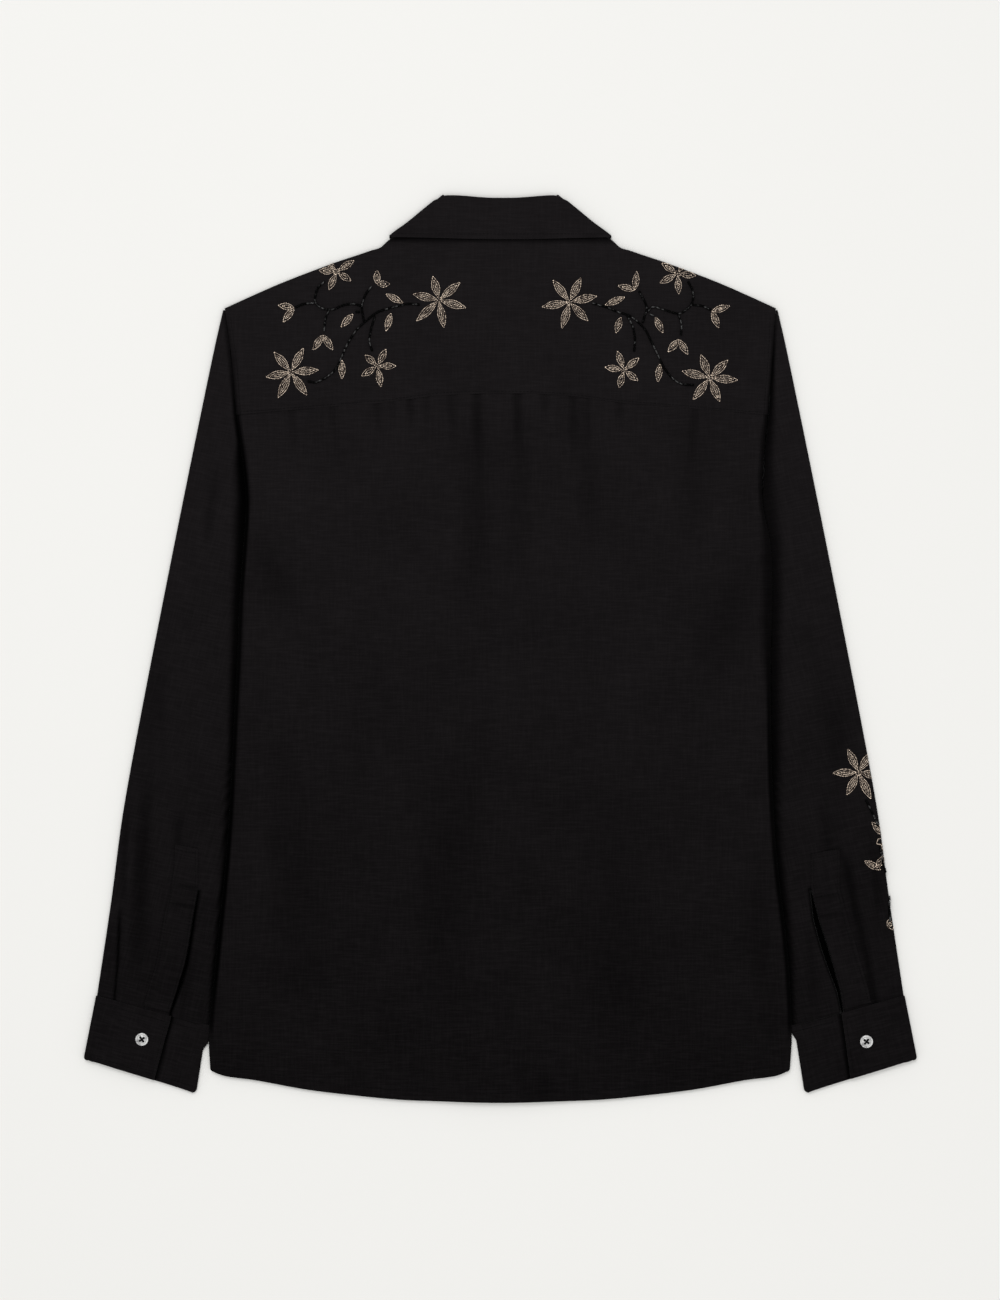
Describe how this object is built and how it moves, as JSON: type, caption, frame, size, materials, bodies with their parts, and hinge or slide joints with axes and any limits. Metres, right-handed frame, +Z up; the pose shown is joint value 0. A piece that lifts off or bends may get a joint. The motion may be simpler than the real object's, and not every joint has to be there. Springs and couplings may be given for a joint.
{
  "type": "embroidered shirt",
  "caption": "Black long-sleeved shirt laid face down, back up, with beaded flower sprays on the yoke and one sleeve.",
  "frame": {"origin": "middle of the laid shirt's outline, on the table", "axes": "+Y from hem to collar, +X to the wearer's right sleeve, +Z up off the table through the back"},
  "size_m": [0.7132, 0.773, 0.0073],
  "materials": {
    "black_cloth": "matt slubby linen-look weave",
    "pearl_buttons": "polished pearly white",
    "beads": "small champagne glass beads",
    "thread": "black sewing thread"
  },
  "bodies": {
    "root": {"back_yoke": "black_cloth", "back_panel": "black_cloth", "front_left": "black_cloth", "front_right": "black_cloth", "front_placket": "black_cloth", "front_button_band": "black_cloth", "collar": "black_cloth", "sleeve_left": "black_cloth", "sleeve_right": "black_cloth", "sleeve_placket_left": "black_cloth", "sleeve_placket_right": "black_cloth", "cuff_left": "black_cloth", "cuff_right": "black_cloth", "cuff_button_left": "pearl_buttons", "cuff_button_right": "pearl_buttons", "front_button_1": "pearl_buttons", "front_button_2": "pearl_buttons", "front_button_3": "pearl_buttons", "front_button_4": "pearl_buttons", "front_button_5": "pearl_buttons", "front_button_6": "pearl_buttons"}
  },
  "joints": []
}
